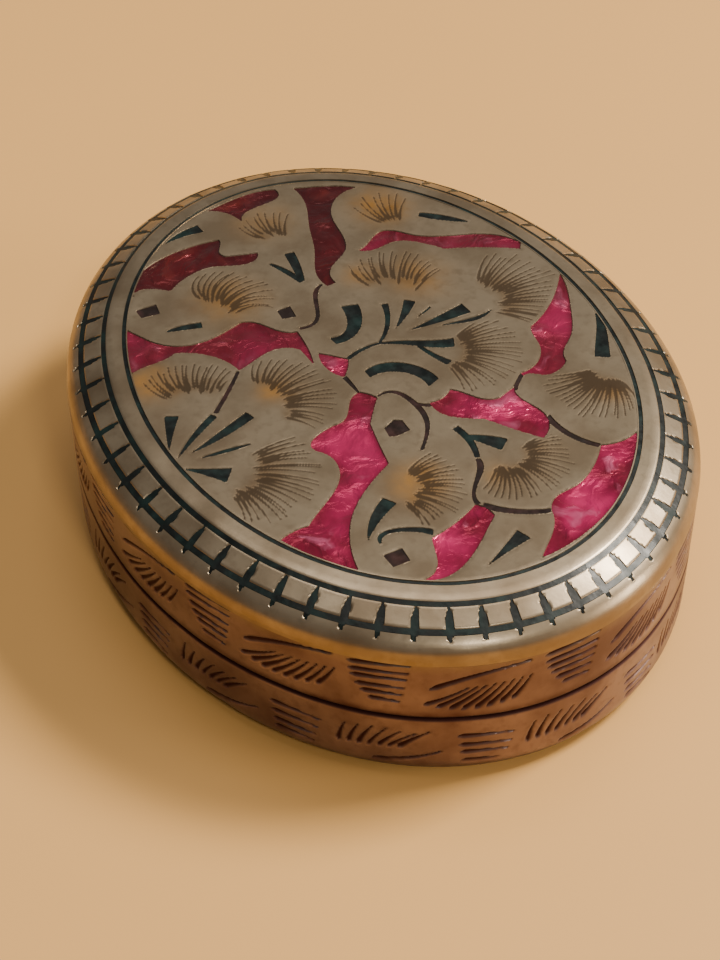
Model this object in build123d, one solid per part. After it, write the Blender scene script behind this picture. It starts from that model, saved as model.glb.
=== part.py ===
"""Oval pill box with a lift-off lid, enamelled on top, in millimetres.

The long axis of the oval runs along X and the short one along Y. Z = 0 is the underside, so the
origin is the middle of the face the box stands on. Every oval here is an ellipse, and an oval set
in by some distance from the outer wall has both of its half axes shorter by that distance.
"""
from build123d import *
import math
import os

# Outer oval and heights
HALF_LONG = 25.0            # half of the long axis
HALF_SHORT = 19.65          # half of the short axis
BASE_HEIGHT = 5.4           # underside to the rim of the base
SEAM_GAP = 0.1              # between the two rims when the lid is on
FIELD_RISE = 7.4            # rim of the lid to the flat field on its top

# Sheet and strip
WALL = 0.75                 # lid wall strip
LID_SHEET = 0.8             # top plate
COLLAR_CLEARANCE = 0.06     # between the collar and the lid wall, all round
COLLAR_STRIP = 0.5
COLLAR_PROUD = 2.6          # how far the collar stands above the rim of the base
BASE_EDGE_RADIUS = 1.6      # turned-in lower edge of the base
BASE_LIP = 0.3              # flat part of that edge beside the bottom plate
BOTTOM_SHEET = 0.8

# Shoulder of the lid: a small edge arc from the wall to 45 degrees, then a large one to the flat
EDGE_RADIUS = 0.8
SHOULDER_INSET = 4.2        # where the shoulder runs out into the flat field

# Engraving
CUT_DEPTH = 0.28            # below the surface of the top plate
FILL_RECESS = 0.06          # the fills stop this much below the surface
OUTER_GROOVE = (0.92, 1.26)     # insets of the two sides of each ring groove
INNER_GROOVE = (2.46, 2.78)
FIELD_GROOVE = (3.88, 4.12)
FIELD_LIMIT = 4.2           # nothing in the field is cut beyond this inset
BORDER = (0.86, 2.86)       # insets of the facet that carries the tiles and their two grooves
DIVIDERS = 62               # cuts between the square tiles of the border
DIVIDER_WIDTH = 0.46
DIVIDER_OVERRUN = 0.35      # how far a divider runs on past the outer groove
DIVIDER_WANDER = 1.1        # the hand-set spacing drifts by this much
DIVIDER_PHASE = 14.0
DIVIDER_START = -0.25

LID_FLOOR = BASE_HEIGHT + SEAM_GAP
FIELD_Z = LID_FLOOR + FIELD_RISE
COLLAR_INSET = WALL + COLLAR_CLEARANCE

# The shoulder arcs, as (inset, height above the lid's rim)
COS45 = math.cos(math.radians(45))
EDGE_INSET = EDGE_RADIUS * (1 - COS45)
SHOULDER_RADIUS = (SHOULDER_INSET - EDGE_INSET) / COS45
SHOULDER_MID = FIELD_RISE - SHOULDER_RADIUS
WALL_RISE = SHOULDER_MID + SHOULDER_RADIUS * COS45 - EDGE_RADIUS * COS45

# Enamel islands of the field. Each outline is a start point and then strokes: a stroke of one
# point is a straight side, and a longer one is a smooth curve through its points.
ISLANDS = {
    "enamel_left_upper": [
        (-10.0, -13.95),
        [(-9.0, -13.35), (-7.2, -12.1), (-6.4, -10.4), (-6.6, -8.3), (-7.2, -6.6)],
        [(-6.9, -5.8), (-5.9, -5.0), (-4.75, -3.5)],
        [(-3.6, -3.5), (-2.4, -3.6), (-1.0, -3.9)],
        [(-2.0, -3.98), (-2.9, -4.1)],
        [(-3.5, -4.9), (-3.6, -5.8), (-3.2, -7.1), (-2.65, -8.5)],
        [(-4.2, -9.15), (-5.1, -9.95), (-6.0, -11.7)],
        [(-5.65, -12.6), (-5.55, -13.6), (-4.95, -15.3)],
        [(-6.5, -15.1), (-8.2, -14.7), (-10.0, -13.95)],
    ],
    "enamel_crimson_upper": [
        (-12.9, -12.2),
        [(-14.4, -11.6), (-15.4, -10.3), (-16.1, -8.6), (-16.35, -4.5)],
        [(-15.6, -4.7), (-15.0, -5.0), (-14.4, -4.8)],
        [(-14.1, -3.7), (-13.85, -2.6)],
        [(-13.1, -3.1), (-12.95, -3.9), (-13.6, -6.0), (-13.4, -7.7), (-12.3, -9.55)],
        [(-12.75, -10.2), (-13.15, -10.9), (-12.9, -12.2)],
    ],
    "enamel_top_edge": [
        (-19.8, -4.6),
        [(-20.3, -2.4), (-20.6, -0.2), (-20.3, 1.4)],
        [(-19.4, 1.3), (-18.9, 0.0), (-17.4, -2.2)],
        [(-18.4, -2.5), (-19.2, -3.0), (-19.8, -4.6)],
    ],
    "enamel_upper_band": [
        (-19.9, 2.6),
        [(-19.4, 4.2), (-18.8, 5.7), (-18.0, 6.9)],
        [(-17.0, 4.5), (-15.8, 3.85), (-13.6, 3.6), (-11.9, 3.25)],
        [(-11.2, 2.7), (-10.5, 1.75), (-8.45, 0.95)],
        [(-8.35, 0.25)],
        [(-9.9, 0.1), (-12.4, 1.05), (-15.2, 1.85), (-17.6, 2.65), (-19.9, 2.6)],
    ],
    "enamel_upper_right": [
        (-11.2, 3.75),
        [(-11.35, 4.3), (-12.3, 5.6), (-11.8, 7.5)],
        [(-10.55, 9.1), (-9.7, 11.5), (-7.25, 14.5)],
        [(-6.6, 14.1)],
        [(-7.7, 12.1), (-8.35, 10.6), (-8.8, 9.3)],
        [(-9.9, 8.4), (-11.0, 6.4), (-10.75, 4.9), (-11.2, 3.75)],
    ],
    "enamel_right": [
        (-3.1, 15.3),
        [(-1.3, 13.95), (0.1, 12.5), (1.2, 10.75)],
        [(2.2, 10.45), (3.2, 10.35), (4.2, 9.85), (5.15, 7.9)],
        [(5.5, 7.95)],
        [(5.55, 8.6), (6.0, 9.2), (5.95, 10.3), (5.3, 11.2)],
        [(4.4, 11.5), (3.3, 12.6), (1.0, 13.95), (-1.6, 15.0), (-3.1, 15.3)],
    ],
    "enamel_centre_right": [
        (5.3, 1.3),
        [(5.3, 2.0), (4.7, 3.05)],
        [(5.2, 3.6), (5.9, 4.1), (6.75, 5.55)],
        [(6.5, 6.1), (6.2, 6.9)],
        [(6.6, 6.75)],
        [(7.6, 6.85), (9.3, 7.45), (10.2, 7.3), (11.3, 6.3)],
        [(10.2, 5.3), (9.3, 4.6), (8.2, 3.75)],
        [(7.8, 3.0), (7.0, 1.85), (5.3, 1.3)],
    ],
    "enamel_lower_right": [
        (13.15, 11.9),
        [(13.5, 11.0), (13.35, 9.2)],
        [(14.6, 8.1), (15.9, 6.0), (16.2, 4.6), (17.2, 3.65)],
        [(18.2, 3.3), (19.4, 2.3), (20.5, 1.2)],
        [(19.9, 4.1), (18.3, 7.3), (16.0, 10.0), (13.15, 11.9)],
    ],
    "enamel_bottom": [
        (14.8, -0.25),
        [(15.2, 0.1), (16.15, 0.4)],
        [(17.4, -0.95), (18.7, -2.5), (19.5, -4.2), (19.2, -5.9)],
        [(18.3, -4.5), (17.4, -4.2), (16.3, -3.9)],
        [(15.9, -2.5), (14.8, -0.25)],
    ],
    "enamel_left_lower": [
        (2.5, -2.35),
        [(2.8, -3.0), (4.0, -3.8), (4.75, -5.1)],
        [(5.1, -6.3), (5.8, -7.15), (6.6, -7.0)],
        [(7.6, -6.4), (8.8, -6.5), (10.8, -8.2), (12.3, -10.1)],
        [(12.35, -11.0), (12.7, -12.1)],
        [(14.1, -11.3), (15.6, -10.2), (16.95, -8.9)],
        [(15.0, -8.55), (12.6, -7.35), (10.4, -5.0), (9.4, -3.45)],
        [(7.6, -3.25), (5.6, -2.95)],
        [(4.9, -2.5), (3.5, -1.5)],
        [(3.0, -1.8), (2.5, -2.35)],
    ],
    "enamel_drop": [
        (-2.15, -3.15),
        [(-1.5, -2.4), (-0.75, -1.6)],
        [(-0.1, -1.9), (0.8, -2.6)],
        [(0.0, -3.15), (-1.1, -3.35), (-2.15, -3.15)],
    ],
}

# Gouge cuts, as centre lines with a width at each point: (x, y, width). The widths swell and
# taper as a graver leaves them.
CUTS = {
    "left_flower_wedges": [
        [(2.6, -15.3, 0.1), (1.1, -14.7, 0.5), (-0.3, -14.05, 0.95)],
        [(3.6, -15.15, 0.08), (2.2, -13.6, 0.4), (0.75, -11.6, 0.55)],
        [(3.45, -14.2, 0.06), (2.7, -12.0, 0.6), (1.65, -9.5, 0.8)],
        [(4.1, -13.9, 0.06), (4.15, -12.2, 0.34), (4.2, -10.5, 0.12)],
        [(4.65, -15.0, 0.1), (5.3, -14.1, 0.5), (6.3, -12.75, 1.35)],
    ],
    "centre_flower_wedges": [
        [(-0.7, -1.8, 0.3), (-1.15, -0.8, 0.35), (-1.35, 0.1, 0.3), (-1.35, 1.1, 0.3)],
        [(-1.45, 0.95, 0.2), (-2.2, 1.7, 0.3), (-3.2, 2.35, 0.35), (-5.0, 2.95, 0.5)],
        [(-2.3, 2.5, 0.08), (-3.3, 3.55, 0.45), (-4.6, 4.65, 0.85)],
        [(-2.7, 4.2, 0.06), (-3.1, 5.0, 0.18), (-3.4, 5.6, 0.2)],
        [(-1.75, 3.2, 0.06), (-1.95, 5.2, 0.6), (-2.3, 7.75, 1.15)],
        [(-1.4, 5.0, 0.05), (-1.2, 6.3, 0.25), (-1.05, 7.5, 0.4), (-1.45, 9.2, 0.08)],
        [(-1.3, 1.0, 0.25), (-0.85, 2.2, 0.4), (-0.3, 3.2, 0.6), (0.6, 5.4, 0.9)],
        [(-0.1, 3.1, 0.3), (0.9, 3.45, 0.35), (2.35, 4.2, 0.55)],
    ],
    "leaf_crescents": [
        [(-5.85, 0.75, 1.2), (-4.1, 0.35, 1.0), (-3.15, -0.4, 0.85), (-2.85, -1.8, 0.8)],
        [(1.15, -1.15, 0.8), (1.05, 0.3, 0.95), (1.6, 1.35, 0.95), (3.7, 2.4, 1.05)],
    ],
    "leaf_slivers": [
        [(-12.3, -2.35, 0.2), (-11.0, -1.65, 0.45), (-9.5, -1.15, 0.35)],
        [(-12.9, -0.65, 0.75), (-11.3, -0.8, 0.65), (-9.55, -1.1, 0.4)],
        [(12.4, -4.8, 1.0), (13.5, -6.3, 0.65), (14.9, -7.4, 0.06)],
        [(15.6, -6.85, 0.12), (14.9, -6.55, 0.35), (14.8, -5.8, 0.35), (16.0, -3.65, 0.5)],
        [(8.1, 1.7, 0.5), (9.1, 1.95, 0.5), (11.2, 1.72, 0.35)],
        [(9.2, 2.1, 0.3), (10.0, 3.0, 0.85), (10.85, 3.8, 1.15)],
        [(18.3, 1.2, 1.05), (19.05, -0.5, 0.45), (19.75, -2.0, 0.05)],
        [(1.7, 15.35, 0.1), (2.8, 15.1, 0.5), (4.4, 14.35, 0.85), (6.0, 13.5, 1.05)],
        [(-13.2, 9.45, 0.5), (-12.3, 10.6, 0.65), (-10.9, 12.3, 0.06)],
        [(-17.4, -8.2, 0.06), (-17.9, -7.0, 0.5), (-18.1, -5.2, 1.0)],
        [(-8.35, -11.4, 0.2), (-8.25, -10.2, 0.55), (-8.0, -9.0, 0.6)],
    ],
    "petal_seam_lines": [
        [(-9.95, -13.9, 0.3), (-11.4, -13.2, 0.3), (-12.95, -12.15, 0.35)],
        [(-4.95, -3.3, 0.3), (-5.3, -1.9, 0.3), (-6.6, -1.3, 0.3), (-8.7, 0.0, 0.3)],
        [(0.75, -2.6, 0.35), (1.5, -2.5, 0.3), (2.6, -2.4, 0.15)],
        [(3.4, -1.45, 0.2), (3.4, -0.4, 0.28), (4.8, 0.35, 0.4), (6.9, 0.35, 0.35),
         (8.2, -0.35, 0.25), (9.15, -1.1, 0.25)],
        [(5.1, 0.55, 0.2), (5.45, 0.95, 0.3), (5.6, 1.5, 0.35)],
        [(11.3, 1.7, 0.35), (13.2, 0.6, 0.3), (14.1, 0.0, 0.25), (14.9, -0.1, 0.4)],
        [(15.1, 0.1, 0.5), (16.3, 1.5, 0.45), (17.2, 3.6, 0.4)],
        [(9.6, 7.45, 0.5), (12.0, 8.05, 0.4), (13.4, 9.1, 0.4)],
        [(5.3, 7.95, 0.35), (5.9, 7.3, 0.3), (6.5, 6.75, 0.4)],
        [(0.6, -11.45, 0.35), (-1.0, -9.95, 0.3), (-2.6, -8.6, 0.25)],
    ],
}

# Small square punches, by their corners
BUD_SQUARES = [
    [(-7.35, -3.9), (-7.45, -2.9), (-6.2, -2.95), (-6.35, -3.9)],
    [(6.3, -2.35), (5.85, -1.5), (6.15, -1.0), (7.2, -0.95), (7.35, -1.9), (7.2, -2.4)],
    [(16.4, -7.15), (16.35, -5.85), (17.5, -5.85), (17.55, -7.0)],
    [(-11.3, -12.5), (-11.35, -11.0), (-10.3, -11.1), (-10.35, -12.4)],
]


def oval(inset, z=0.0):
    """A filled oval, set in from the outer wall, at height z."""
    return Pos(0, 0, z) * Ellipse(HALF_LONG - inset, HALF_SHORT - inset)


def oval_block(inset, low, high):
    """An upright oval block between two heights."""
    return extrude(oval(inset, low), high - low)


def oval_ring(outer_inset, inner_inset, low, high):
    """An upright oval ring between two insets and two heights."""
    return oval_block(outer_inset, low, high) - oval_block(inner_inset, low, high)


def stacked(profile, low):
    """A solid of oval sections: straight sides from low to the profile, then its (inset, z) steps."""
    sections = [oval(profile[0][0], low)] + [oval(inset, z) for inset, z in profile]
    return loft(sections, ruled=True)


def shoulder_height(inset, sheet):
    """Height of the shoulder arc above the lid's rim, less a sheet thickness."""
    radius = SHOULDER_RADIUS - sheet
    return SHOULDER_MID + math.sqrt(radius ** 2 - (SHOULDER_INSET - inset) ** 2)


def shoulder(sheet, low):
    """The solid under the lid's top, less a sheet thickness, standing on the height low.

    The border with its grooves and tiles lies on one facet of the shoulder arc.
    """
    start = SHOULDER_INSET - (SHOULDER_RADIUS - sheet) * COS45
    insets = [start, BORDER[0], BORDER[1], SHOULDER_INSET]
    profile = [(inset, LID_FLOOR + shoulder_height(inset, sheet)) for inset in insets]
    if sheet == 0:
        profile.insert(0, (0, LID_FLOOR + WALL_RISE))
    return stacked(profile, low)


def outline_face(outline):
    """The flat face inside an outline of strokes."""
    here = outline[0]
    edges = []
    for stroke in outline[1:]:
        points = [here] + stroke
        edges.append(Line(*points) if len(points) == 2 else Spline(*points))
        here = stroke[-1]
    return make_face(Curve() + edges)


def cut_face(centre_line):
    """The flat face of a gouge cut from its centre line and widths."""
    left = []
    right = []
    last = len(centre_line) - 1
    for i, (x, y, width) in enumerate(centre_line):
        x0, y0, _ = centre_line[max(i - 1, 0)]
        x1, y1, _ = centre_line[min(i + 1, last)]
        run = math.hypot(x1 - x0, y1 - y0)
        nx = -(y1 - y0) / run * width / 2
        ny = (x1 - x0) / run * width / 2
        left.append((x + nx, y + ny))
        right.append((x - nx, y - ny))
    right.reverse()
    return outline_face([left[0], left[1:], [right[0]], right[1:], [left[0]]])


def divider_face(distance, centre_oval):
    """A lens across the border, at a distance along its centre oval."""
    place = centre_oval.position_at(distance, position_mode=PositionMode.LENGTH)
    along = centre_oval.tangent_at(distance, position_mode=PositionMode.LENGTH)
    half = (INNER_GROOVE[0] - OUTER_GROOVE[1]) / 2 + 0.1
    out_x, out_y = along.Y, -along.X
    reach = half + OUTER_GROOVE[1] - OUTER_GROOVE[0] + DIVIDER_OVERRUN
    inner = (place.X - out_x * half, place.Y - out_y * half)
    outer = (place.X + out_x * reach, place.Y + out_y * reach)
    side = DIVIDER_WIDTH / 2
    left = (place.X + along.X * side, place.Y + along.Y * side)
    right = (place.X - along.X * side, place.Y - along.Y * side)
    return make_face(Curve() + [ThreePointArc(inner, left, outer), ThreePointArc(outer, right, inner)])


def divider_faces():
    """All the cuts between the border tiles, with the drift of a hand-set spacing."""
    middle = (OUTER_GROOVE[1] + INNER_GROOVE[0]) / 2
    centre_oval = Edge.make_ellipse(HALF_LONG - middle, HALF_SHORT - middle)
    pitch = centre_oval.length / DIVIDERS
    faces = []
    for i in range(DIVIDERS):
        even = i * pitch
        drift = DIVIDER_WANDER * math.cos(4 * math.pi * (even + DIVIDER_PHASE) / centre_oval.length)
        distance = (even + DIVIDER_START + drift) % centre_oval.length
        faces.append(divider_face(distance, centre_oval))
    return faces


def columns(faces, low):
    """Upright columns on flat faces, from the height low to above the lid."""
    return [extrude(Pos(0, 0, low) * face, FIELD_Z + 1 - low) for face in faces]


def merged(shapes):
    """One shape of many, joined where they meet."""
    return shapes[0].fuse(*shapes[1:]) if len(shapes) > 1 else shapes[0]


def border_nodes(outside):
    """The fills of the three ring grooves and the dividers, and the pocket they all lie in."""
    low = LID_FLOOR + WALL_RISE
    below_cut = Pos(0, 0, -CUT_DEPTH) * outside
    layer = (Pos(0, 0, -FILL_RECESS) * outside) - below_cut
    grooves = {
        "outer_groove_fill": oval_ring(*OUTER_GROOVE, low, FIELD_Z + 1),
        "inner_groove_fill": oval_ring(*INNER_GROOVE, low, FIELD_Z + 1),
        "field_line_fill": oval_ring(*FIELD_GROOVE, low, FIELD_Z + 1),
    }
    dividers = columns(divider_faces(), low)
    pocket = merged(list(grooves.values()) + dividers) - below_cut
    nodes = {name: groove & layer for name, groove in grooves.items()}
    rings = grooves["outer_groove_fill"] + grooves["inner_groove_fill"]
    nodes["tile_divider_fills"] = (merged(dividers) - rings) & layer
    return nodes, pocket


def field_nodes():
    """The fills of the flat field, none over another, and the pocket they all lie in."""
    floor = FIELD_Z - CUT_DEPTH
    room = oval_block(FIELD_LIMIT, floor, FIELD_Z - FILL_RECESS)
    plan = {name: [outline_face(outline)] for name, outline in ISLANDS.items()}
    plan["bud_squares"] = [make_face(Polyline(*corners, close=True)) for corners in BUD_SQUARES]
    for name, cuts in CUTS.items():
        plan[name] = [cut_face(cut) for cut in cuts]
    everything = []
    taken = []
    nodes = {}
    for name, faces in plan.items():
        shape = merged(columns(faces, floor))
        everything.append(shape)
        own = shape & room
        if name in CUTS:
            own = own - merged(taken)
        nodes[name] = own
        taken.append(shape)
    pocket = merged(everything) & oval_block(FIELD_LIMIT, floor, FIELD_Z + 1)
    return nodes, pocket


def lid_nodes():
    """The lid: its wall strip, its engraved top plate, and every fill set into that plate."""
    wall_top = LID_FLOOR + WALL_RISE
    outside = shoulder(0, wall_top - 1)
    sheet = outside - shoulder(LID_SHEET, wall_top - 1)
    plate = sheet & oval_block(0, wall_top, FIELD_Z)
    border, border_pocket = border_nodes(outside)
    field, field_pocket = field_nodes()
    nodes = {
        "lid_wall_band": oval_ring(0, WALL, LID_FLOOR, wall_top),
        "lid_top_plate": plate - border_pocket - field_pocket,
    }
    return {**nodes, **border, **field}


def base_nodes():
    """The base: its wall strip with a turned-in lower edge, its bottom plate, and the collar."""
    profile = []
    for angle in (90, 75, 60, 45, 30, 15, 0):
        a = math.radians(angle)
        profile.append((BASE_EDGE_RADIUS * (1 - math.cos(a)), BASE_EDGE_RADIUS * (1 - math.sin(a))))
    profile.append((0, BASE_HEIGHT))
    outside = loft([oval(inset, z) for inset, z in profile], ruled=True)
    plate_inset = BASE_EDGE_RADIUS + BASE_LIP
    inside = oval_block(COLLAR_INSET, BOTTOM_SHEET, BASE_HEIGHT)
    wall = outside - inside - oval_block(plate_inset, 0, BOTTOM_SHEET)
    collar_top = BASE_HEIGHT + COLLAR_PROUD
    return {
        "base_wall_band": wall,
        "base_bottom_plate": oval_block(plate_inset, 0, BOTTOM_SHEET),
        "inner_collar": oval_ring(COLLAR_INSET, COLLAR_INSET + COLLAR_STRIP, BOTTOM_SHEET, collar_top),
    }


os.makedirs("parts", exist_ok=True)
for node, shape in {**base_nodes(), **lid_nodes()}.items():
    solids = list(shape.solids())
    export_step(Compound(children=solids) if len(solids) > 1 else solids[0], f"parts/{node}.step")
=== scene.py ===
"""Looks of an oval enamelled pill box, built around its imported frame.

Lengths inside this file are in millimetres and become metres when a mesh is made. The long axis of
the oval runs along X. An oval set in by some distance from the outer wall has both of its half axes
shorter by that distance, and that distance is called the inset.
"""
import logging
import math
from collections.abc import Iterator
from dataclasses import dataclass
from enum import Enum

import bmesh
import bpy
import numpy as np
from mathutils import Matrix, Vector


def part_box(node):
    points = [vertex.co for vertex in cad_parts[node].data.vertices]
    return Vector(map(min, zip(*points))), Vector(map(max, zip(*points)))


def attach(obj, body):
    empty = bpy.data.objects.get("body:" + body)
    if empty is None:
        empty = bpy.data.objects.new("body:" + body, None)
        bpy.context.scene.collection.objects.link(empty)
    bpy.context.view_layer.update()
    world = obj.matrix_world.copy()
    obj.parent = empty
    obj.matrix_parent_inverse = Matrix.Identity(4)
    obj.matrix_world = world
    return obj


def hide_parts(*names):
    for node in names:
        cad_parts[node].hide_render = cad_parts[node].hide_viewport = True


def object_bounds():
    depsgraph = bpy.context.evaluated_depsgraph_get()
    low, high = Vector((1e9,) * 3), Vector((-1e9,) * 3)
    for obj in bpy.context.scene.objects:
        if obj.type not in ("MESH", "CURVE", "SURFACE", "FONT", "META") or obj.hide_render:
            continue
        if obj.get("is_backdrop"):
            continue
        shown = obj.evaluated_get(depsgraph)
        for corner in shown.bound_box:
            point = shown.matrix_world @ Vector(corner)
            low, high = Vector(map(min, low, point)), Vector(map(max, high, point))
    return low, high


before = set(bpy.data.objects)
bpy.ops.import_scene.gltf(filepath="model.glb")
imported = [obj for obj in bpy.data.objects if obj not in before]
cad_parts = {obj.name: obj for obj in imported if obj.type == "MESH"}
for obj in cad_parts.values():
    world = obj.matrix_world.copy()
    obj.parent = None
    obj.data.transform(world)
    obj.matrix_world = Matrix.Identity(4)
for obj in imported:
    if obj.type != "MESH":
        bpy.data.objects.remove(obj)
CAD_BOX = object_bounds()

logging.basicConfig(level=logging.INFO, format="%(message)s")
log = logging.getLogger("pill_box")

Array = np.ndarray
Colour = tuple[float, float, float]
Point = tuple[float, float]

Place = tuple[float, float, float]
Socket = bpy.types.NodeSocket
Material = bpy.types.Material
Piece = bpy.types.Object

MM = 0.001
_, TOP_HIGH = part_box("lid_top_plate")
LID_LOW, LID_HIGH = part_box("lid_wall_band")
_, BASE_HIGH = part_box("base_wall_band")
_, COLLAR_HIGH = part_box("inner_collar")
HALF_LONG = LID_HIGH.x / MM
HALF_SHORT = LID_HIGH.y / MM
FIELD_Z = TOP_HIGH.z / MM
RIM_Z = LID_LOW.z / MM
BASE_RIM_Z = BASE_HIGH.z / MM
COLLAR_Z = COLLAR_HIGH.z / MM
WALL = 0.75
COLLAR_INSET = HALF_LONG - COLLAR_HIGH.x / MM
POCKET_DEPTH = 0.3
TINY = 1e-9
OVAL_SAMPLES = 7201
RIPPLE_WAVES = 7
RIPPLE_PEAK = 4.0
LONGEST_WAVE = 2.6


class Side(Enum):
    """Which way the faces of a new mesh look."""

    UP = (0.0, 0.0, 1.0)
    DOWN = (0.0, 0.0, -1.0)
    SHELL = None


def smooth(t: Array) -> Array:
    """An S-shaped step: three t squared less two t cubed, held between 0 and 1."""
    t = np.clip(t, 0.0, 1.0)
    return t * t * (3.0 - 2.0 * t)


def ramp(value: Array, start: float, end: float) -> Array:
    """A smooth step from 0 at the start to 1 at the end."""
    return smooth((value - start) / (end - start))


def ripple(x: Array, y: Array, size: float, seed: int) -> Array:
    """A gentle waviness of about unit height: a sum of sine waves in seeded directions.

    Args:
        x, y: where to work it out, in millimetres.
        size: the shortest wave, in millimetres.
        seed: which set of directions and phases.
    Returns:
        The height at each point.
    """
    draw = np.random.default_rng(seed)
    total = np.zeros(np.broadcast(x, y).shape)
    for _ in range(RIPPLE_WAVES):
        way, phase = draw.uniform(0, 2 * math.pi, 2)
        wave = size * draw.uniform(1.0, LONGEST_WAVE)
        total = total + np.sin((x * math.cos(way) + y * math.sin(way)) * 2 * math.pi / wave + phase)
    return total / RIPPLE_PEAK


def measured_oval(inset: float = 0.0) -> tuple[Array, Array]:
    """Closely spaced angles once round an oval, and how far along it each of them lies."""
    fine = np.linspace(0, 2 * math.pi, OVAL_SAMPLES)
    x, y = (HALF_LONG - inset) * np.cos(fine), (HALF_SHORT - inset) * np.sin(fine)
    return fine, np.concatenate([[0.0], np.cumsum(np.hypot(np.diff(x), np.diff(y)))])


def oval_angles(count: int) -> tuple[Array, Array]:
    """Angles of points spread evenly by length along the outer oval, and their distances.

    Args:
        count: how many points go round.
    Returns:
        The angles, and the distance of each from the +X end, going anticlockwise.
    """
    fine, run = measured_oval()
    distance = run[-1] * np.arange(count) / count
    return np.interp(distance, run, fine), distance


def oval_girth() -> float:
    """Length of the outer oval."""
    angles, _ = oval_angles(3600)
    x, y = HALF_LONG * np.cos(angles), HALF_SHORT * np.sin(angles)
    return float(np.hypot(x - np.roll(x, 1), y - np.roll(y, 1)).sum())


def add_object(name: str, data: bpy.types.ID) -> Piece:
    """A new object in the scene."""
    made = bpy.data.objects.new(name, data)
    bpy.context.scene.collection.objects.link(made)
    return made


def build_grid(
    name: str,
    points: Array,
    side: Side,
    wrap_columns: bool = False,
    wrap_rows: bool = False,
    keep: Array | None = None,
    attributes: dict[str, Array] | None = None,
    crease: float | None = None,
) -> Piece:
    """A mesh of four-sided faces between neighbours of a grid of points.

    Args:
        name: the piece's name.
        points: rows by columns by 3, in millimetres.
        side: which way the faces look; a SHELL is closed, and its faces look outwards.
        wrap_columns, wrap_rows: whether the last one joins the first.
        keep: which points are used; a face needs all four.
        attributes: values at the points, for the materials.
        crease: edges sharper than this many degrees stay sharp.
    Returns:
        The new object.
    """
    rows, columns = points.shape[:2]
    index = np.arange(rows * columns).reshape(rows, columns)
    if wrap_columns:
        index = np.hstack([index, index[:, :1]])
    if wrap_rows:
        index = np.vstack([index, index[:1]])
    corners = (index[:-1, :-1], index[:-1, 1:], index[1:, 1:], index[1:, :-1])
    quads = np.stack(corners, axis=-1).reshape(-1, 4)
    if keep is not None:
        quads = quads[keep.ravel()[quads].all(axis=1)]
    used, quads = np.unique(quads, return_inverse=True)
    quads = quads.reshape(-1, 4)
    place = points.reshape(-1, 3)[used] * MM
    a, b, c, d = (place[quads[:, k]] for k in range(4))
    normal = np.cross(c - a, d - b)
    outwards = a if side is Side.SHELL else np.array(side.value)
    facing = (outwards * normal).sum()
    if facing < 0:
        quads = quads[:, ::-1]
    mesh = bpy.data.meshes.new(name)
    mesh.from_pydata(place.tolist(), [], quads.tolist())
    mesh.polygons.foreach_set("use_smooth", np.ones(len(quads), bool))
    for key, values in (attributes or {}).items():
        layer = mesh.attributes.new(key, "FLOAT", "POINT")
        layer.data.foreach_set("value", values.ravel()[used].astype(np.float32))
    if crease is not None:
        mesh.set_sharp_from_angle(angle=math.radians(crease))
    mesh.update()
    return add_object(name, mesh)


def finish_piece(
    piece: Piece, body: str, slot: str, material: Material, stands_for: tuple[str, ...]
) -> None:
    """Puts a piece on its body, gives it its finish and hides the nodes that it stands for."""
    piece.data.materials.clear()
    piece.data.materials.append(material)
    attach(piece, body)
    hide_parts(*stands_for)
    log.info("%s: %d faces", piece.name, len(piece.data.polygons))


def swept(profile: Array, angles: Array, dent: Array | float = 0.0) -> Array:
    """A profile carried round the oval.

    Args:
        profile: rows of (inset, z).
        angles: the oval's angles.
        dent: how much further in each point lies, rows by angles.
    Returns:
        Rows by angles by 3: half axes less the inset, times cosine and sine.
    """
    inset = profile[:, 0:1] + dent
    z = np.broadcast_to(profile[:, 1:2], (len(profile), len(angles)))
    x, y = (HALF_LONG - inset) * np.cos(angles), (HALF_SHORT - inset) * np.sin(angles)
    return np.stack([x, y, z], -1)


def arc(centre: Point, radius: float, start: float, end: float, steps: int) -> list[Point]:
    """Points of an arc of a profile, from one angle to another in degrees."""
    turn = np.radians(np.linspace(start, end, steps))
    return [(centre[0] + radius * math.cos(a), centre[1] + radius * math.sin(a)) for a in turn]


WINDOW_SAMPLES = 9


def rounded(points: list[Point], reach: float, step: float) -> Array:
    """A profile through points with its corners eased: even samples, then a moving average.

    Args:
        points: the corners, as (inset, z).
        reach: length of the average's window.
        step: distance between samples.
    Returns:
        The eased profile, with its two ends where they were.
    """
    corners = np.array(points)
    run = np.concatenate([[0.0], np.cumsum(np.hypot(*np.diff(corners, axis=0).T))])
    at = np.linspace(0, run[-1], max(int(run[-1] / step), 2) + 1)
    offsets = np.linspace(-reach / 2, reach / 2, WINDOW_SAMPLES)
    spread = np.minimum(np.minimum(at, run[-1] - at), reach / 2) / (reach / 2)
    result = np.zeros((len(at), 2))
    for offset in offsets:
        where = at + offset * spread
        result += np.stack([np.interp(where, run, corners[:, k]) for k in range(2)], axis=1)
    return result / len(offsets)


# ---- engraved strokes


LINE_POINTS = 7
TAPER = 0.85
TAPER_POWER = 1.2
BLUNT_START = 0.3
START_RISE = 8


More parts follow.
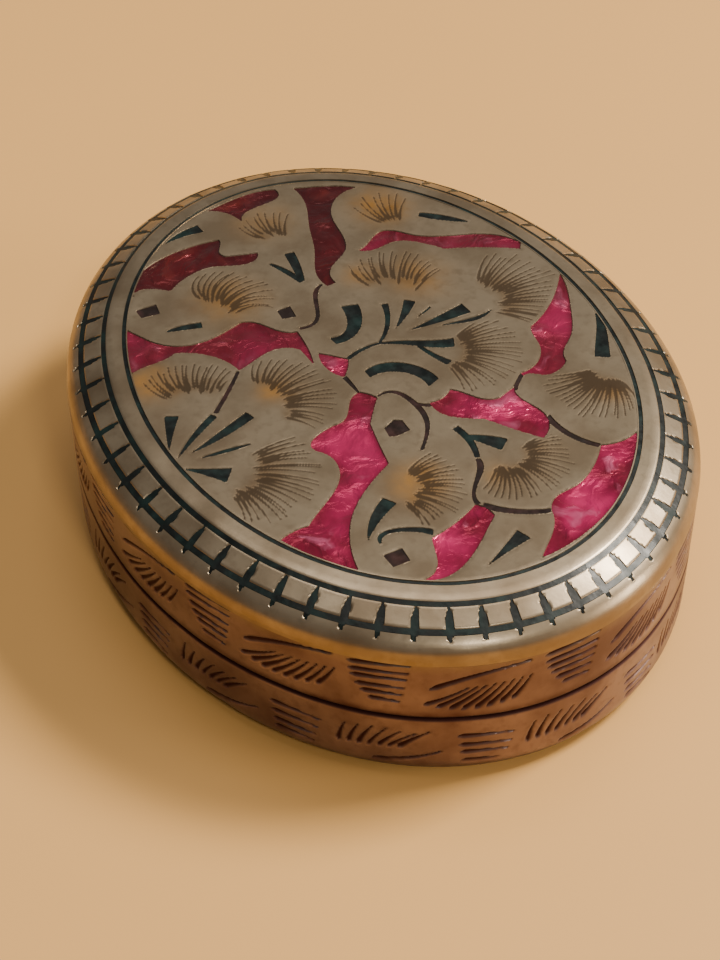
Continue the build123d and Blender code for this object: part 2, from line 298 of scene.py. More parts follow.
@dataclass(frozen=True)
class Stroke:
    """One graver stroke: a bent line from a broad start to a pointed end.

    It loses the share TAPER of its width by its end, and is never narrower than `least`.
    """

    start: Point
    end: Point
    width: float
    bend: float = 0.0
    least: float = 0.1

    def centre_line(self) -> Array:
        """Points along it: a parabola that stands off the straight line by bend at its middle."""
        t = np.linspace(0, 1, LINE_POINTS)[:, None]
        a, b = np.array(self.start), np.array(self.end)
        across = np.array([-(b - a)[1], (b - a)[0]])
        across = across / max(np.hypot(*across), TINY)
        return a + (b - a) * t + across * self.bend * 4 * t * (1 - t)

    def mark(self, x: Array, y: Array, girth: float | None = None) -> Array:
        """How deep the stroke cuts, from 0 to 1: one less the square of distance over half width.

        Args:
            x, y: where to work it out.
            girth: length after which x starts again, for a stroke on a wall.
        Returns:
            The cut at each point.
        """
        line = self.centre_line()
        middle = line[len(line) // 2, 0]
        if girth is not None:
            x = (x - middle + girth / 2) % girth + middle - girth / 2
        best = np.zeros(x.shape)
        near = (
            (x > line[:, 0].min() - self.width)
            & (x < line[:, 0].max() + self.width)
            & (y > line[:, 1].min() - self.width)
            & (y < line[:, 1].max() + self.width)
        )
        px, py = x[near], y[near]
        deepest = np.zeros(px.shape)
        count = len(line) - 1
        for i in range(count):
            ax, ay = line[i]
            dx, dy = line[i + 1] - line[i]
            t = np.clip(((px - ax) * dx + (py - ay) * dy) / (dx * dx + dy * dy), 0, 1)
            gap = np.hypot(px - ax - t * dx, py - ay - t * dy)
            along = (i + t) / count
            width = self.width * (1 - TAPER * along**TAPER_POWER)
            width = width * smooth(BLUNT_START + along * START_RISE)
            half = np.maximum(width, self.least) / 2
            deepest = np.maximum(deepest, 1 - (gap / half) ** 2)
        best[near] = np.maximum(deepest, 0)
        return best


SHADE_OFFSET = 0.35
SHADE_FALL_OUT = 1.3
SHADE_FALL_IN = 0.5


@dataclass(frozen=True)
class Fan:
    """Strokes of one petal, spreading from a centre between two radii and two angles in degrees."""

    centre: Point
    inner: float
    outer: float
    start: float
    end: float
    count: int
    width: float = 0.35
    bend: float = 0.14
    least: float = 0.15
    sway: float = 1.5
    crown: float = 0.14

    def strokes(self, draw: np.random.Generator) -> list[Stroke]:
        """The strokes, each a little off its even place."""
        result = []
        for i in range(self.count):
            share = i / (self.count - 1)
            even = self.start + (self.end - self.start) * share
            angle = math.radians(even + draw.uniform(-self.sway, self.sway))
            arch = 1 - self.crown + self.crown * math.sin(math.pi * share)
            near = self.inner * draw.uniform(0.85, 1.2)
            far = self.outer * arch * draw.uniform(0.92, 1.05)
            start, end = (
                (self.centre[0] + r * math.cos(angle), self.centre[1] + r * math.sin(angle))
                for r in (near, far)
            )
            width = self.width * draw.uniform(0.8, 1.15)
            result.append(Stroke(start, end, width, self.bend, self.least))
        return result

    def shade(self, x: Array, y: Array) -> Array:
        """Darker tone where the strokes start: highest at the inner radius, within the angles."""
        dx, dy = x - self.centre[0], y - self.centre[1]
        reach = np.hypot(dx, dy)
        middle = math.radians((self.start + self.end) / 2)
        spread = math.radians(abs(self.end - self.start) / 2)
        turn = np.abs((np.arctan2(dy, dx) - middle + math.pi) % (2 * math.pi) - math.pi)
        past = reach - self.inner - SHADE_OFFSET
        ring = np.exp(-((past / np.where(past > 0, SHADE_FALL_OUT, SHADE_FALL_IN)) ** 2))
        return ring * smooth((spread + 0.12 - turn) / 0.3)


@dataclass(frozen=True)
class Stain:
    """A soft round patch of another tone on the field."""

    centre: Point
    radius: float
    strength: float = 1.0

    def tone(self, x: Array, y: Array) -> Array:
        """Strength times e to the minus square of distance over radius."""
        reach = ((x - self.centre[0]) ** 2 + (y - self.centre[1]) ** 2) / self.radius**2
        return self.strength * np.exp(-reach)


# ---- outlines of the inlays


UPRIGHT = 0.9
POINTS_AT_ONCE = 400
TILE = 32
BESIDE = 0.03


@dataclass
class Outline:
    """Straight pieces around flat shapes, each with the inside on its left."""

    starts: Array
    ends: Array

    @classmethod
    def of_nodes(cls, names: list[str], above: float) -> "Outline":
        """The edges used once by the triangles that face up above a height, in these nodes."""
        starts, ends = [], []
        for name in names:
            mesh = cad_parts[name].data
            co = np.empty(len(mesh.vertices) * 3)
            mesh.vertices.foreach_get("co", co)
            co = co.reshape(-1, 3) / MM
            mesh.calc_loop_triangles()
            triangles = np.empty(len(mesh.loop_triangles) * 3, np.int64)
            mesh.loop_triangles.foreach_get("vertices", triangles)
            triangles = triangles.reshape(-1, 3)
            _, first, welded = np.unique(
                np.round(co, 3), axis=0, return_index=True, return_inverse=True
            )
            welded = welded.ravel()[triangles]
            place = co[first]
            a, b, c = (place[welded[:, k]] for k in range(3))
            normal = np.cross(b - a, c - a)
            size = np.linalg.norm(normal, axis=1)
            flat = (normal[:, 2] > UPRIGHT * size) & (size > TINY) & (a[:, 2] > above)
            welded = welded[flat]
            edges = np.vstack([welded[:, [0, 1]], welded[:, [1, 2]], welded[:, [2, 0]]])
            key = edges[:, 0] * len(place) + edges[:, 1]
            back = edges[:, 1] * len(place) + edges[:, 0]
            edges = edges[~np.isin(key, back)]
            starts.append(place[edges[:, 0], :2])
            ends.append(place[edges[:, 1], :2])
        return cls(np.vstack(starts), np.vstack(ends))

    def winding(self, x: Array, y: Array) -> Array:
        """How many times the outline goes round each point, by counting crossings to its right."""
        total = np.zeros(len(x), int)
        (x0, y0), (x1, y1) = self.starts.T, self.ends.T
        for part in np.array_split(np.arange(len(x)), max(len(x) // POINTS_AT_ONCE, 1)):
            px, py = x[part, None], y[part, None]
            up = (y0 <= py) & (y1 > py)
            down = (y1 <= py) & (y0 > py)
            rise = np.where(y1 == y0, 1.0, y1 - y0)
            right = x0 + (py - y0) / rise * (x1 - x0) > px
            total[part] = (up & right).sum(1) - (down & right).sum(1)
        return total

    def without_joins(self) -> "Outline":
        """The same outline less the pieces that have another shape on their outer side too."""
        along = self.ends - self.starts
        length = np.maximum(np.linalg.norm(along, axis=1, keepdims=True), TINY)
        outwards = np.stack([along[:, 1], -along[:, 0]], 1) / length
        outer = (self.starts + self.ends) / 2 + BESIDE * outwards
        alone = self.winding(outer[:, 0], outer[:, 1]) == 0
        return Outline(self.starts[alone], self.ends[alone])

    def inside_grid(self, xs: Array, ys: Array) -> Array:
        """Which points of a grid lie inside, row by row from the sorted crossings of each row."""
        inside = np.zeros((len(xs), len(ys)), bool)
        (x0, y0), (x1, y1) = self.starts.T, self.ends.T
        for i, x in enumerate(xs):
            cross = (x0 <= x) != (x1 <= x)
            share = (x - x0[cross]) / (x1[cross] - x0[cross])
            where = y0[cross] + share * (y1[cross] - y0[cross])
            turn = np.where(x1[cross] > x0[cross], 1, -1)
            order = np.argsort(where)
            total = np.concatenate([[0], np.cumsum(turn[order])])
            inside[i] = total[np.searchsorted(where[order], ys)] != 0
        return inside

    def nearest(self, xs: Array, ys: Array, reach: float) -> tuple[Array, Array, Array]:
        """Distance to the outline and the way to its nearest point, within reach, over a grid.

        Args:
            xs, ys: the grid's lines.
            reach: points further off keep this distance.
        Returns:
            The distance, and the two parts of the way there.
        """
        shape = (len(xs), len(ys))
        far = np.full(shape, reach)
        way_x, way_y = np.zeros(shape), np.zeros(shape)
        low = np.minimum(self.starts, self.ends) - reach
        high = np.maximum(self.starts, self.ends) + reach
        for i in range(0, len(xs), TILE):
            for j in range(0, len(ys), TILE):
                tx, ty = xs[i : i + TILE], ys[j : j + TILE]
                first, last = np.array([tx[0], ty[0]]), np.array([tx[-1], ty[-1]])
                near = ((high > first) & (low < last)).all(1)
                if not near.any():
                    continue
                a, d = self.starts[near], (self.ends - self.starts)[near]
                px, py = (g[..., None] for g in np.meshgrid(tx, ty, indexing="ij"))
                square = np.maximum((d * d).sum(1), TINY**2)
                t = np.clip(((px - a[:, 0]) * d[:, 0] + (py - a[:, 1]) * d[:, 1]) / square, 0, 1)
                gx, gy = a[:, 0] + t * d[:, 0] - px, a[:, 1] + t * d[:, 1] - py
                gap = np.hypot(gx, gy)
                best = gap.argmin(2)[..., None]
                least = np.take_along_axis(gap, best, 2)[..., 0]
                part = (slice(i, i + TILE), slice(j, j + TILE))
                hit = least < far[part]
                far[part] = np.where(hit, least, far[part])
                for way, step in ((way_x, gx), (way_y, gy)):
                    way[part] = np.where(hit, np.take_along_axis(step, best, 2)[..., 0], way[part])
        return far, way_x, way_y


# ---- finishes


@dataclass
class NodeBench:
    """Adds shader nodes to a tree and joins them."""

    tree: bpy.types.NodeTree

    def add(
        self, kind: str, inputs: dict[str | int, object] | None = None, **settings: object
    ) -> bpy.types.Node:
        """A node with settings and inputs; an input that is a socket is linked.

        Args:
            kind: the node's type name.
            inputs: values or sockets by input name or number.
            settings: the node's own properties.
        Returns:
            The node.
        """
        node = self.tree.nodes.new(kind)
        for key, value in settings.items():
            setattr(node, key, value)
        for key, value in (inputs or {}).items():
            self.feed(node.inputs[key], value)
        return node

    def feed(self, socket: Socket, value: object) -> None:
        """Links a socket to another, or sets its value; a colour gets its alpha here."""
        if isinstance(value, Socket):
            self.tree.links.new(value, socket)
        elif isinstance(value, tuple) and socket.type == "RGBA":
            socket.default_value = (*value, 1.0)
        else:
            socket.default_value = value

    def place(self) -> Socket:
        """Object coordinates."""
        return self.add("ShaderNodeTexCoord").outputs["Object"]

    def noise(self, scale: float | Socket, detail: float = 3.0) -> Socket:
        """A noise value; scale is in waves to the metre."""
        wanted = {"Vector": self.place(), "Scale": scale, "Detail": detail}
        return self.add("ShaderNodeTexNoise", wanted).outputs["Fac"]

    def attribute(self, name: str) -> Socket:
        """A value that the mesh carries."""
        return self.add("ShaderNodeAttribute", attribute_name=name).outputs["Fac"]

    def spread(
        self, value: Socket, low: float, high: float, to_low: float = 0.0, to_high: float = 1.0
    ) -> Socket:
        """A value stretched from one range to another and held there."""
        keys = ("Value", "From Min", "From Max", "To Min", "To Max")
        wanted = dict(zip(keys, (value, low, high, to_low, to_high)))
        return self.add("ShaderNodeMapRange", wanted, clamp=True).outputs["Result"]

    def math(self, operation: str, *values: object) -> Socket:
        """Two or three values joined by an operation."""
        return self.add("ShaderNodeMath", dict(enumerate(values)), operation=operation).outputs[0]

    def mix(self, share: object, a: object, b: object) -> Socket:
        """One colour turning into another."""
        return self.add("ShaderNodeMix", {0: share, 6: a, 7: b}, data_type="RGBA").outputs[2]

    def bump(self, height: Socket, strength: float, distance: float) -> Socket:
        """A normal tilted by the slopes of a height, which is in units of the distance, in metres."""
        wanted = {"Height": height, "Strength": strength, "Distance": distance}
        return self.add("ShaderNodeBump", wanted).outputs[0]

    def surface(self, **inputs: object) -> None:
        """The surface shader and the output; an underscore stands for a space in an input's name."""
        wanted = {key.replace("_", " "): value for key, value in inputs.items()}
        shader = self.add("ShaderNodeBsdfPrincipled", wanted)
        self.add("ShaderNodeOutputMaterial", {"Surface": shader.outputs[0]})


def new_material(name: str) -> tuple[Material, NodeBench]:
    """A material with an empty tree, and the bench that fills it."""
    made = bpy.data.materials.new(name)
    made.use_nodes = True
    made.node_tree.nodes.clear()
    return made, NodeBench(made.node_tree)


class Waves:
    """Scales of the noises in the finishes, in waves to the metre."""

    SCRATCH = 4200.0
    FILL_PIT = 1800.0
    PIT = 1500.0
    FILL_GLOSS = 1400.0
    WEAR = 900.0
    SMEAR = 800.0
    FILL_PATCH = 700.0
    WARP = 350.0
    STREAK = 330.0
    POOL = 210.0
    FLOOR = 14.0


class ToneGroup:
    """Shared node group for worn metal: patches of two tones, a satin gloss and a fine grain."""

    name = "worn_metal_tone"

    @classmethod
    def tree(cls) -> bpy.types.NodeTree:
        """The group, made once."""
        found = bpy.data.node_groups.get(cls.name)
        if found:
            return found
        tree = bpy.data.node_groups.new(cls.name, "ShaderNodeTree")
        face = tree.interface
        sockets = {
            "INPUT": {
                "Light": "Color", "Dark": "Color",
                "Patches": "Float", "Gloss Low": "Float", "Gloss High": "Float",
            },
            "OUTPUT": {"Tone": "Color", "Gloss": "Float", "Grain": "Float"},
        }
        for way, labels in sockets.items():
            for label, kind in labels.items():
                face.new_socket(label, in_out=way, socket_type="NodeSocket" + kind)
        bench = NodeBench(tree)
        given = bench.add("NodeGroupInput")
        broad = bench.noise(given.outputs["Patches"], 5.0)
        fine = bench.noise(Waves.SCRATCH, 4.0)
        speckle = bench.noise(Waves.PIT, 5.0)
        patch = bench.spread(broad, 0.38, 0.66)
        pits = bench.spread(speckle, 0.52, 0.72, to_high=0.45)
        tone = bench.mix(patch, given.outputs["Light"], given.outputs["Dark"])
        tone = bench.mix(pits, tone, given.outputs["Dark"])
        gloss_span = bench.math("SUBTRACT", given.outputs["Gloss High"], given.outputs["Gloss Low"])
        gloss = bench.math("MULTIPLY_ADD", broad, gloss_span, given.outputs["Gloss Low"])
        grain = bench.math("ADD", bench.math("MULTIPLY", fine, 0.4), speckle)
        bench.add("NodeGroupOutput", {"Tone": tone, "Gloss": gloss, "Grain": grain})
        return tree


@dataclass(frozen=True)
class Metal:
    """Worn metal with darkened cuts, and optional edge, gold and smoke tones from attributes; the cut
    tone also lays painted shade on pocket walls, groove walls and seam lips, and on the walls the
    edge tone is painted shade.
    """

    name: str
    light: Colour
    dark: Colour
    cut: Colour = (0.1, 0.05, 0.03)
    metallic: float = 0.85
    patches: float = 300.0
    gloss: Point = (0.28, 0.46)
    bump: float = 0.12
    bump_height: float = 0.00006
    cut_dullness: float = 0.35
    edge: Colour | None = None
    gold: Colour | None = None
    smoke: Colour | None = None

    def material(self) -> Material:
        """The material."""
        made, bench = new_material(self.name)
        group = bench.add("ShaderNodeGroup", node_tree=ToneGroup.tree())
        for socket, value in zip(group.inputs, (self.light, self.dark, self.patches, *self.gloss)):
            bench.feed(socket, value)
        tone = group.outputs["Tone"]
        uneven = bench.spread(bench.noise(Waves.WEAR, 4.0), 0.35, 0.65, to_low=0.55)
        # On the walls the edge attribute is painted shade; on the border it is the brassy shoulder.
        for key in ("edge", "gold", "smoke"):
            colour = getattr(self, key)
            if colour is not None:
                tone = bench.mix(bench.math("MULTIPLY", bench.attribute(key), uneven), tone, colour)
        # The cut attribute holds the engraved strokes and also painted shade on pocket walls, groove
        # walls and seam lips.
        tone = bench.mix(bench.attribute("cut"), tone, self.cut)
        dull = bench.math("MULTIPLY", bench.attribute("cut"), self.cut_dullness)
        bench.surface(
            Base_Color=tone,
            Metallic=self.metallic,
            Roughness=bench.math("ADD", group.outputs["Gloss"], dull),
            Normal=bench.bump(group.outputs["Grain"], self.bump, self.bump_height),
        )
        return made


@dataclass(frozen=True)
class Enamel:
    """Clear tinted enamel over crinkled foil: broken tones below a smooth gloss, with painted glints
    of the foil, painted shade along each island's edge and painted shade towards the back of the lid.
    """

    name: str
    bright: Colour
    deep: Colour
    # Painted highlight colour: the glints of the foil under the enamel.
    painted_glint: Colour
    # Painted shade colour towards the back of the lid.
    far: Colour
    crinkle: float = 300.0
    warp: float = 0.0022
    back_shade_span: Point = (-0.005, 0.018)
    back_shade_share: float = 0.75
    painted_glint_share: float = 0.75
    # Strength of the painted shade along each island's metal edge.
    edge_shade_share: float = 0.8

    def material(self) -> Material:
        """The material."""
        made, bench = new_material(self.name)
        wanted = {"Vector": bench.place(), "Scale": Waves.WARP, "Detail": 3.0}
        warp = bench.add("ShaderNodeTexNoise", wanted).outputs["Color"]
        shift = bench.add("ShaderNodeVectorMath", {0: warp, "Scale": self.warp}, operation="SCALE")
        wanted = {0: bench.place(), 1: shift.outputs[0]}
        moved = bench.add("ShaderNodeVectorMath", wanted, operation="ADD").outputs[0]
        wanted = {"Vector": moved, "Scale": self.crinkle}
        facets = bench.add("ShaderNodeTexVoronoi", wanted, feature="F1").outputs["Distance"]
        wanted = {"Vector": moved, "Scale": Waves.STREAK, "Detail": 4.0, "Distortion": 1.2}
        streaks = bench.add("ShaderNodeTexNoise", wanted).outputs["Fac"]
        pools = bench.spread(bench.noise(Waves.POOL), 0.38, 0.6)
        # Painted highlights: streaks of the glint colour stand for light caught by the foil.
        painted_glints = bench.spread(streaks, 0.56, 0.72)
        tone = bench.mix(pools, self.bright, self.deep)
        tone = bench.mix(bench.math("MULTIPLY", painted_glints, self.painted_glint_share), tone, self.painted_glint)
        # Painted shade: the rim attribute darkens each island towards its metal edge.
        rim = bench.math("MULTIPLY", bench.attribute("rim"), self.edge_shade_share)
        tone = bench.mix(rim, tone, self.deep)
        # Painted shade: the enamel darkens towards the back of the lid, along -X.
        along = bench.add("ShaderNodeSeparateXYZ", {0: bench.place()}).outputs["X"]
        tone = bench.mix(bench.spread(along, *self.back_shade_span, self.back_shade_share, 0.0), tone, self.far)
        height = bench.math("ADD", facets, bench.math("MULTIPLY", streaks, 0.9))
        bench.surface(
            Base_Color=tone,
            Metallic=0.55,
            Roughness=bench.spread(bench.noise(Waves.SMEAR), 0.35, 0.65, 0.16, 0.34),
            Coat_Weight=1.0,
            Coat_Roughness=0.06,
            Normal=bench.bump(height, 0.8, 0.0005),
        )
        return made


@dataclass(frozen=True)
class DarkFill:
    """Nearly black glossy fill with a tint."""

    name: str
    deep: Colour
    tint: Colour

    def material(self) -> Material:
        """The material."""
        made, bench = new_material(self.name)
        patch = bench.spread(bench.noise(Waves.FILL_PATCH, 4.0), 0.45, 0.68)
        bench.surface(
            Base_Color=bench.mix(patch, self.deep, self.tint),
            Roughness=bench.spread(bench.noise(Waves.FILL_GLOSS), 0.3, 0.7, 0.3, 0.55),
            Specular_IOR_Level=0.3,
            Coat_Weight=0.08,
            Normal=bench.bump(bench.noise(Waves.FILL_PIT), 0.3, 0.0001),
        )
        return made


SILVER = Metal(
    name="worn_silvered_top",
    light=(0.44, 0.355, 0.25),
    dark=(0.25, 0.19, 0.125),
    # Dark fill of the hatching, also laid as painted shade on the pocket walls and on the walls of
    # the sunk grooves and tile cuts.
    cut=(0.046, 0.031, 0.019),
    metallic=0.88,
    patches=260.0,
    gloss=(0.26, 0.46),
    edge=(0.25, 0.185, 0.115),
    gold=(0.60, 0.31, 0.09),
    smoke=(0.15, 0.092, 0.046),
)
BRASS_SIDE = Metal(
    name="aged_brass_side",
    light=(0.26, 0.178, 0.165),
    dark=(0.125, 0.070, 0.064),
    # Dark fill of the strokes, also laid as painted shade on the lips at the seam.
    cut=(0.042, 0.010, 0.008),
    metallic=0.8,
    patches=190.0,
    gloss=(0.27, 0.47),
    # Painted shade colour, laid low on the walls by the edge attribute.
    edge=(0.06, 0.018, 0.014),
    smoke=(0.25, 0.185, 0.115),
)
COLLAR_METAL = Metal("collar_brass", (0.50, 0.34, 0.15), (0.33, 0.20, 0.09), patches=210.0)
UNDER_METAL = Metal("underside_brass", (0.40, 0.27, 0.13), (0.24, 0.14, 0.07), patches=170.0)
# In both enamels below, the glint colour is a painted highlight and the last colour is painted shade
# at the back of the lid.
PINK = Enamel(
    name="pink_enamel",
    bright=(0.82, 0.025, 0.19),
    deep=(0.24, 0.004, 0.035),
    painted_glint=(1.0, 0.27, 0.5),
    far=(0.13, 0.006, 0.014),
)
CRIMSON = Enamel(
    name="crimson_enamel",
    bright=(0.24, 0.002, 0.012),
    deep=(0.05, 0.0, 0.004),
    painted_glint=(0.6, 0.07, 0.05),
    far=(0.06, 0.001, 0.003),
)
TEAL_FILL = DarkFill("dark_teal_fill", deep=(0.003, 0.005, 0.005), tint=(0.004, 0.016, 0.015))
RED_FILL = DarkFill("dark_red_fill", deep=(0.011, 0.006, 0.005), tint=(0.030, 0.010, 0.009))


# ---- the lid's top

CRIMSON_ISLANDS = ("enamel_crimson_upper", "enamel_top_edge", "enamel_upper_band")
TEAL_INLAYS = ("left_flower_wedges", "centre_flower_wedges", "leaf_crescents", "leaf_slivers")
RED_INLAYS = ("bud_squares", "petal_seam_lines")
BORDER_FILLS = ("outer_groove_fill", "inner_groove_fill", "field_line_fill", "tile_divider_fills")

PETALS = (
    Fan((0.5, -12.8), 2.6, 5.4, 200, 127, 17),
    Fan((1.0, -9.0), 2.1, 5.3, 156, 38, 21),
    Fan((5.5, -13.0), 2.3, 6.0, 97, -4, 23),
    Fan((-4.2, 3.2), 3.0, 6.3, 190, 117, 18),
    Fan((-2.6, 8.2), 2.2, 6.6, 141, 36, 23),
    Fan((0.8, 4.2), 1.7, 5.3, -5, 112, 22),
    Fan((-8.7, -8.8), 2.0, 5.6, 160, 78, 16, bend=0.45),
    Fan((-13.3, -0.9), 2.0, 4.9, 206, 152, 9),
    Fan((-12.0, 7.2), 1.5, 4.8, 202, 146, 8),
    Fan((11.6, 3.4), 1.3, 4.3, -50, 97, 24),
    Fan((11.3, -4.2), 1.7, 4.4, 115, 4, 20),
    Fan((7.2, 13.4), 1.2, 5.0, 257, 357, 21),
)
GOLD = (
    Stain((-3.8, -14.2), 1.5, 0.8),
    Stain((0.2, -7.2), 1.0, 0.8),
    Stain((-8.6, 2.7), 1.1, 0.6),
    Stain((-6.6, 6.4), 1.9, 0.5),
    Stain((-9.7, -6.4), 2.0, 0.65),
    Stain((-17.0, -0.8), 1.9, 0.45),
    Stain((-15.2, 7.4), 1.9, 0.85),
    Stain((11.6, -2.6), 1.5, 0.85),
    Stain((9.3, 12.4), 1.0, 0.5),
    Stain((12.9, 2.0), 0.9, 0.4),
)
SMOKE = (
    Stain((7.4, -11.6), 1.5, 0.35),
    Stain((1.8, 6.4), 1.2, 0.35),
    Stain((8.6, 12.6), 0.9, 0.5),
)


WELD_REACH = 1e-6


def weld_centre(piece: Piece) -> None:
    """Joins the points that a pole has put in one place, so that the surface is closed there."""
    work = bmesh.new()
    work.from_mesh(piece.data)
    bmesh.ops.remove_doubles(work, verts=work.verts, dist=WELD_REACH)
    work.to_mesh(piece.data)
    work.free()


@dataclass
class LidTop:
    """The engraved top of the lid: its flat field, its border of tiles and its inner face."""

    cell: float = 0.08
    reach: Point = (21.0, 15.6)
    snap: float = 0.52
    seed: int = 4
    hatch_depth: float = 0.014
    worn_depth: float = 0.012
    wave_depth: float = 0.008
    field_inset: float = 4.13
    dip_inset: float = 4.2
    columns: int = 1240
    corners: tuple[Point, ...] = (
        (0, 4.6), (0, 5.19), (0.234, 5.757), (0.86, 6.297), (2.86, 7.238), (4.22, 7.4),
    )
    skirt_inset: float = 4.225
    grooves: tuple[Point, ...] = ((0.92, 1.26), (2.46, 2.78), (3.88, 4.12))
    groove_margin: float = 0.02
    border_depth: float = 0.29
    border_wear: float = 0.014
    tiles: int = 62
    tile_cut: Point = (0.47, 2.56)
    tile_cut_width: float = 0.258
    tile_cut_reach: float = 2.2
    side_run: float = 0.07

    def build_field(self) -> None:
        """Both halves of the flat field: sunk by a steep step inside the inlay outlines, and
        hatched by strokes; a point beside an outline moves onto it, so that the step stays clean."""
        xs, ys = (np.arange(-half, half + self.cell / 2, self.cell) for half in self.reach)
        islands = [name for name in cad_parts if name.startswith("enamel_")]
        outline = Outline.of_nodes([*islands, *TEAL_INLAYS, *RED_INLAYS], FIELD_Z - 0.1)
        inside = outline.inside_grid(xs, ys)
        gap, way_x, way_y = outline.without_joins().nearest(xs, ys, 0.5)
        x, y = np.meshgrid(xs, ys, indexing="ij")
        snap = gap < self.snap * self.cell
        x, y = np.where(snap, x + way_x, x), np.where(snap, y + way_y, y)
        depth_in = np.where(inside & ~snap, gap, 0.0)
        within = self.in_oval(x, y, self.field_inset) < 1
        cut, values = self.field_tones(x, y, gap, inside)
        # Painted shade: the pocket walls and the inlay outlines take the dark cut colour.
        pocket_wall_shade = np.where(inside | snap, smooth(depth_in / 0.06 + 0.4), 0.0)
        values["cut"] = np.maximum(0.92 * smooth(cut * 1.7), pocket_wall_shade)
        inset = HALF_LONG * (1 - np.sqrt(self.in_oval(x, y, self.dip_inset)))
        z = (
            FIELD_Z
            - POCKET_DEPTH * smooth(depth_in / 0.1)
            - self.worn_depth * (np.exp(-((gap / 0.12) ** 2)) * ~inside)
            - self.hatch_depth * smooth(cut)
            - self.wave_depth * (1 - ripple(x, y, size=2.2, seed=11))
            - self.worn_depth * (1 - smooth((inset - 0.02) / 0.2))
        )
        middle = len(xs) // 2
        points = np.stack([x, y, z], -1)
        material = SILVER.material()
        halves = {"field_back_half": slice(0, middle + 1), "field_front_half": slice(middle, None)}
        for name, part in halves.items():
            tones = {key: value[part] for key, value in values.items()}
            piece = build_grid(
                name, points[part], Side.UP, keep=within[part], attributes=tones, crease=38
            )
            finish_piece(piece, "lid", "silvered_top", material, ("lid_top_plate",))

    @staticmethod
    def in_oval(x: Array, y: Array, inset: float) -> Array:
        """How far out points lie in an oval: 0 at its middle and 1 on it, squared."""
        return (x / (HALF_LONG - inset)) ** 2 + (y / (HALF_SHORT - inset)) ** 2

    def field_tones(
        self, x: Array, y: Array, gap: Array, inside: Array
    ) -> tuple[Array, dict[str, Array]]:
        """The hatching of the field, and its gold and smoke tones.

        Args:
            x, y: the field's points.
            gap: how far each of them is from an inlay's outline.
            inside: which of them lie in an inlay.
        Returns:
            How deep the strokes cut, from 0 to 1, and the tones by name.
        """
        draw = np.random.default_rng(self.seed)
        cut = np.zeros(x.shape)
        for fan in PETALS:
            for stroke in fan.strokes(draw):
                cut = np.maximum(cut, stroke.mark(x, y))
        cut = cut * np.where(inside, 0.0, smooth((gap - 0.08) / 0.3))
        shade = np.max([fan.shade(x, y) for fan in PETALS], axis=0)
        gold, smoke = (sum(stain.tone(x, y) for stain in stains) for stains in (GOLD, SMOKE))
        return cut, {
            "gold": np.clip(1.3 * gold + 0.18 * shade, 0, 1),
            "smoke": np.clip(smoke + 0.45 * shade, 0, 1),
        }

    def tile_cuts(self, x: Array, y: Array) -> Array:
        """Cuts between the tiles: a lens across the border at places of slightly drifting
        spacing, its half width one less the square of the distance from its middle."""
        middle = (self.grooves[0][1] + self.grooves[1][0]) / 2
        fine, run = measured_oval(middle)
        even = run[-1] * np.arange(self.tiles) / self.tiles
        where = even - 0.25 + 1.1 * np.cos(4 * math.pi * (even + 14) / run[-1])
        low, high = self.tile_cut
        long, short = HALF_LONG - middle, HALF_SHORT - middle
        cut = np.zeros(x.shape)
        for angle in np.interp(where % run[-1], run, fine):
            dx, dy = x - long * math.cos(angle), y - short * math.sin(angle)
            tx, ty = -long * math.sin(angle), short * math.cos(angle)
            size = math.hypot(tx, ty)
            tx, ty = tx / size, ty / size
            inset = middle - (dx * ty - dy * tx)
            off_middle = (inset - (low + high) / 2) / ((high - low) / 2)
            half = self.tile_cut_width * (1 - off_middle**2)
            lens = smooth((half - np.abs(dx * tx + dy * ty)) / self.side_run)
            near = np.hypot(dx, dy) < self.tile_cut_reach
            cut = np.where(near, np.maximum(cut, lens), cut)
        return cut

    def build_border(self) -> None:
        """The shoulder and border as a swept profile, sunk in the ring grooves and tile cuts."""
        angles, _ = oval_angles(self.columns)
        profile = rounded([(a, RIM_Z + b) for a, b in self.corners], 0.85, 0.072)
        skirt = [(self.skirt_inset, FIELD_Z - drop) for drop in (0.15, 0.4)]
        profile = np.vstack([profile, skirt])
        points = swept(profile, angles)
        inset = np.broadcast_to(profile[:, :1], points.shape[:2])
        sunk = self.tile_cuts(points[..., 0], points[..., 1])
        for low, high in self.grooves:
            into = np.minimum(inset - low, high - inset) + self.groove_margin
            sunk = np.maximum(sunk, smooth(into / self.side_run))
        sunk[-len(skirt) :] = 0
        wear = self.border_wear * ripple(points[..., 0], points[..., 1], size=2.6, seed=23)
        points[..., 2] += np.where(inset > 0.3, wear, 0.0) - self.border_depth * sunk
        edge = 1 - smooth((profile[:, 1:2] - RIM_Z - 4.9) / 1.5) + np.zeros(sunk.shape)
        # Painted shade: the cut attribute darkens the walls of the sunk grooves and tile cuts; the
        # edge attribute is the brassy shoulder tone.
        tones = {"edge": edge, "cut": smooth(sunk * 1.8)}
        piece = build_grid(
            "border_and_shoulder", points, Side.UP, wrap_columns=True, attributes=tones, crease=42
        )
        finish_piece(piece, "lid", "silvered_top", SILVER.material(), ("lid_top_plate",))

